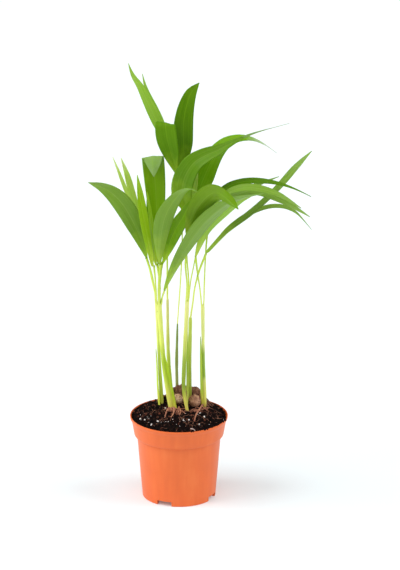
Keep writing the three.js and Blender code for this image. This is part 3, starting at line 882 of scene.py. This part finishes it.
def leaf_blade(name, node, foot, seed):
    """A fine ribbed blade on a ribbon in the frame, with its foot drawn down onto its stalk."""
    left, right, rib = ribbon_rows(node)
    dice = random.Random(seed)
    foot_place, foot_heading, foot_radius = foot
    across = (right[0] - left[0]).normalized() * foot_radius
    for drop, share in FOOT_SHAPE:
        place = foot_place - foot_heading * drop * MM
        left.insert(0, place - across * share)
        right.insert(0, place + across * share)
        rib.insert(0, place)
    rows = (len(rib) - 1) * ROW_FINENESS
    deselect()
    bpy.ops.mesh.primitive_grid_add(x_subdivisions=BLADE_COLUMNS, y_subdivisions=rows, size=1)
    piece = bpy.context.object
    waves = []
    for _edge in ("left", "right"):
        count = dice.uniform(*WAVE_COUNTS)
        phase = dice.uniform(0, math.tau)
        waves.append((count, phase, dice.uniform(*WAVE_HEIGHTS) * MM))
    for vertex in piece.data.vertices:
        side = -2 * vertex.co.x
        share = vertex.co.y + 0.5
        place = share * (len(rib) - 1)
        a, b, r = between(left, place), between(right, place), between(rib, place)
        before, after = max(place - SLOPE_STEP, 0), min(place + SLOPE_STEP, len(rib) - 1)
        along = between(rib, after) - between(rib, before)
        out = along.cross(b - a).normalized()
        half_width = (b - a).length / 2
        fade = min(1, half_width / FULL_RELIEF_WIDTH)
        point = r + side * (b - a) / 2 + ((a + b) / 2 - r) * abs(side) ** CUP
        pleat = math.cos(side * math.pi * PLEATS) * PLEAT_DEPTH
        groove = -MIDRIB_DEPTH * math.exp(-((side / MIDRIB_WIDTH) ** 2))
        count, phase, tall = waves[0 if side < 0 else 1]
        wave = tall * side * side * math.sin(math.tau * count * share + phase)
        vertex.co = point + out * (pleat + groove + wave) * fade
    # The pattern starts where the blade leaves its stalk.
    stalk_share = FOOT_ROWS / (len(rib) - 1)
    for corner in piece.data.uv_layers.active.data:
        corner.uv.y = (corner.uv.y - stalk_share) / (1 - stalk_share)
    settle(piece, name)
    apply_modifier(
        piece, "SOLIDIFY", thickness=BLADE_THICKNESS, offset=-1, material_offset=1, material_offset_rim=1,
        use_even_offset=False,
    )
    bpy.ops.object.shade_smooth()
    return piece


def leaf_skin(name, foot, body, tip, vein, roughness=0.4, gloss=0.25):
    """One side of a living blade: waxy, darker between fine veins that run its whole length,
    yellower at the foot, with slow patches of lighter and darker green."""
    skin, shader = new_material(
        name, roughness=roughness, ior=1.42, specular_ior_level=gloss, subsurface_weight=0.25
    )
    shader.inputs["Subsurface Radius"].default_value = (0.0012, 0.002, 0.0003)
    shader.inputs["Subsurface Scale"].default_value = 0.4
    place = add_node(skin, "TexCoord")
    parts = add_node(skin, "SeparateXYZ", {"Vector": place.outputs["UV"]})
    patch = add_node(skin, "TexNoise", {"Vector": place.outputs["Object"], "Scale": 60.0, "Detail": 3.0})
    waver = add_node(
        skin, "Math", {0: patch.outputs["Fac"], 1: 0.3, 2: parts.outputs["Y"]}, operation="MULTIPLY_ADD"
    )
    level = add_node(skin, "Math", {0: waver.outputs["Value"], 1: 0.15}, operation="SUBTRACT")
    base = add_node(
        skin, "ValToRGB", {"Fac": level.outputs["Value"]},
        [(0.03, foot), (0.27, body), (0.72, body), (1.0, tip)],
    )
    lines = add_node(skin, "Mapping", {"Vector": place.outputs["UV"], "Scale": (30.0, 1.2, 1.0)})
    streak = add_node(skin, "TexNoise", {"Vector": lines.outputs["Vector"], "Scale": 1.0, "Detail": 3.0})
    veins = add_node(
        skin, "MapRange",
        {"Value": streak.outputs["Fac"], "From Min": 0.5, "From Max": 0.75, "To Max": 0.5},
    )
    vein_tint = to_linear(vein)
    veined = add_node(
        skin, "Mix", {"Factor": veins.outputs["Result"], 6: base.outputs["Color"], 7: vein_tint},
        data_type="RGBA",
    )
    aside = add_node(skin, "Math", {0: parts.outputs["X"], 1: 0.5}, operation="SUBTRACT")
    off_rib = add_node(skin, "Math", {0: aside.outputs["Value"]}, operation="ABSOLUTE")
    rib_span = {"From Min": 0.012, "From Max": 0.035, "To Min": 0.4, "To Max": 0.0}
    rib = add_node(skin, "MapRange", {"Value": off_rib.outputs["Value"], **rib_span})
    ribbed = add_node(
        skin, "Mix", {"Factor": rib.outputs["Result"], 6: veined.outputs[2], 7: vein_tint},
        data_type="RGBA",
    )
    link(skin, ribbed.outputs[2], shader.inputs["Base Color"])
    bump = add_node(skin, "Bump", {"Height": streak.outputs["Fac"], "Strength": 0.3, "Distance": 0.0004})
    link(skin, bump.outputs["Normal"], shader.inputs["Normal"])
    return skin


# The upper and the under side of each kind of blade: the colours of its foot, body, tip and veins,
# and where they differ from the usual, its roughness and gloss.
SKINS = {
    "deep": (leaf_skin("deep_green_upper", 0x8FB42A, 0x507C00, 0x5E8A00, 0x7DA81C, 0.42, 0.12),
             leaf_skin("deep_green_under", 0xA0BC3A, 0x688E0C, 0x78A01C, 0x98B43A, 0.5, 0.12)),
    # Painted highlight: the grey-white tip paints the sheen of light where the blade curls back at its top.
    "painted_sheen": (leaf_skin("painted_sheen_upper", 0x9CC02A, 0x5C8A00, 0xD4D8CE, 0x8FAA40, 0.4, 0.25),
                 leaf_skin("painted_sheen_under", 0xA8C43A, 0x78A00C, 0xCCD2C4, 0x98B43A, 0.45, 0.25)),
    "mid": (leaf_skin("mid_green_upper", 0xAACA2C, 0x6C9A00, 0x77A414, 0x98BC34),
            leaf_skin("mid_green_under", 0xB8D048, 0x8CAC3C, 0x9ABA50, 0xB0CA60, 0.5)),
    "bloom": (leaf_skin("bloomed_upper", 0xA6C63C, 0x789E30, 0x87AA4C, 0x9EBC54),
              leaf_skin("bloomed_under", 0xB2CA4C, 0x90AE54, 0x9EB868, 0xB6CC78, 0.5)),
    # A lit copy of the deep green: its body is painted brighter, as painted light on a lobe that turns away
    # from the lamps.
    "painted_lit_deep": (leaf_skin("painted_lit_deep_green_upper", 0x9CC02A, 0x5C8A08, 0x649204, 0x86B024, 0.42, 0.12),
             leaf_skin("painted_lit_deep_green_under", 0xA8C43A, 0x78A80A, 0x80B012, 0x98C03A, 0.5, 0.12)),
    # A lit copy of the one above: its body is painted brighter, as painted light on a lobe that lies in
    # shade, with the same painted highlight at the tip.
    "lit_painted_sheen": (leaf_skin("lit_painted_sheen_upper", 0x9CC02A, 0x74A800, 0xD8DCD0, 0x98BC3A, 0.4, 0.2),
                     leaf_skin("lit_painted_sheen_under", 0xA8C43A, 0x86B800, 0xD0D6C8, 0xA0C43A, 0.45, 0.2)),
    "shaded": (leaf_skin("shaded_green_upper", 0x9CB62C, 0x688C0C, 0x6E9C02, 0x88A82C, 0.4, 0.15),
               leaf_skin("shaded_green_under", 0xA8BE3C, 0x70921A, 0x78A412, 0x94AE3C, 0.5, 0.15)),
    # Painted highlight: the pale grey-green tip paints the sheen of light where the blade bends over at its
    # top.
    "painted_bend_sheen": (leaf_skin("painted_bend_sheen_leaf_upper", 0xA2C030, 0x74A000, 0x8AA868, 0x90B438, 0.4, 0.15),
                leaf_skin("painted_bend_sheen_leaf_under", 0xB2CA4C, 0x84A634, 0xA4BA84, 0xAAC462, 0.5)),
    "pale": (leaf_skin("pale_green_upper", 0xBBD048, 0x8FBB34, 0x94BA40, 0xB6D05E),
             leaf_skin("pale_green_under", 0xC2D454, 0x98BC42, 0xA0C058, 0xBED470, 0.5)),
    "young": (leaf_skin("young_leaf_upper", 0xC6D844, 0x92BA0C, 0x9CC22C, 0xBEDA4E),
              leaf_skin("young_leaf_under", 0xCBDA56, 0xA0C234, 0xAECC4E, 0xCAE070, 0.5)),
    "folded": (leaf_skin("folded_leaf_upper", 0xDCE67A, 0xBEDA54, 0xDCEC96, 0xE6F2AE),
               leaf_skin("folded_leaf_under", 0xE0EA88, 0xC8E060, 0xE0EEA0, 0xE8F2B4, 0.5)),
}
# The blades of each leaf and the kind of each.
LEAVES = {
    "leaf_01": {"left_lobe": "painted_lit_deep", "right_lobe": "deep"},
    "leaf_02": {"left_lobe": "pale", "right_lobe": "pale"},
    "leaf_03": {"left_lobe": "painted_sheen", "right_lobe": "lit_painted_sheen"},
    "leaf_04": {"left_lobe": "mid", "right_lobe": "painted_bend_sheen"},
    "leaf_05": {"blade": "bloom"},
    "leaf_06": {"left_lobe": "folded", "right_lobe": "folded"},
    "leaf_07": {"left_lobe": "young", "right_lobe": "young"},
    "leaf_08": {"left_lobe": "bloom", "right_lobe": "mid"},
    "leaf_09": {"blade": "shaded"},
    "leaf_10": {"blade": "bloom"},
    "leaf_11": {"blade": "pale"},
    "leaf_12": {"upper_lobe": "bloom", "lower_lobe": "bloom"},
    "leaf_13": {"upper_lobe": "bloom", "lower_lobe": "bloom"},
    "leaf_14": {"upper_lobe": "deep", "lower_lobe": "bloom"},
}
blade_count = 0
for leaf, parts in LEAVES.items():
    for part, kind in parts.items():
        node = f"{leaf}_{part}"
        blade_count += 1
        blade = leaf_blade(f"{leaf}_green_{part}", node, petiole_tops[f"{leaf}_petiole"], blade_count)
        for skin in SKINS[kind]:
            blade.data.materials.append(skin)
        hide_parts(node)

# The unopened leaf: one pale young blade that still stands folded, over the stalk of the third
# leaf. It is made as the other blades are, with its foot drawn down onto that stalk.
spear = leaf_blade("folded_young_leaf", "unopened_leaf", petiole_tops["leaf_03_petiole"], seed=90)
for skin in SKINS["folded"]:
    spear.data.materials.append(skin)
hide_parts("unopened_leaf")

# The scale leaves: short green bladeless sheaths that stand against the stems, yellower at the
# foot. Each is made as a narrow blade with a short foot, alike on both sides.
SCALE_FOOT_DROP = 3 * MM
SCALE_FOOT_RADIUS = 1.6 * MM
# The colours of each one's foot, body, tip and veins.
SCALE_TONES = (
    # The first one's tones are painted lighter and yellower, as painted light on a leaf that turns away from
    # the lamps.
    (0xDCDC54, 0xC2DA38, 0x9CBA28, 0xD2E454),
    (0xE4E25A, 0xB8D42A, 0xA6C81E, 0xD6E858),
    (0xD0D860, 0xB4CE48, 0xC2CE80, 0xDCE690),
    (0xE6DE58, 0xC0D648, 0x9CBE34, 0xD8E474),
)
for number, (foot, body, tip, vein) in enumerate(SCALE_TONES, start=1):
    node = f"scale_leaf_{number}"
    _left, _right, rib = ribbon_rows(node)
    heading = (rib[1] - rib[0]).normalized()
    foot_place = rib[0] - heading * SCALE_FOOT_DROP
    scale_leaf = leaf_blade(f"stem_{node}", node, (foot_place, heading, SCALE_FOOT_RADIUS), seed=95 + number)
    scale_skin = leaf_skin(f"skin_of_{node}", foot, body, tip, vein, roughness=0.5)
    for _side in ("upper", "under"):
        scale_leaf.data.materials.append(scale_skin)
    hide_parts(node)
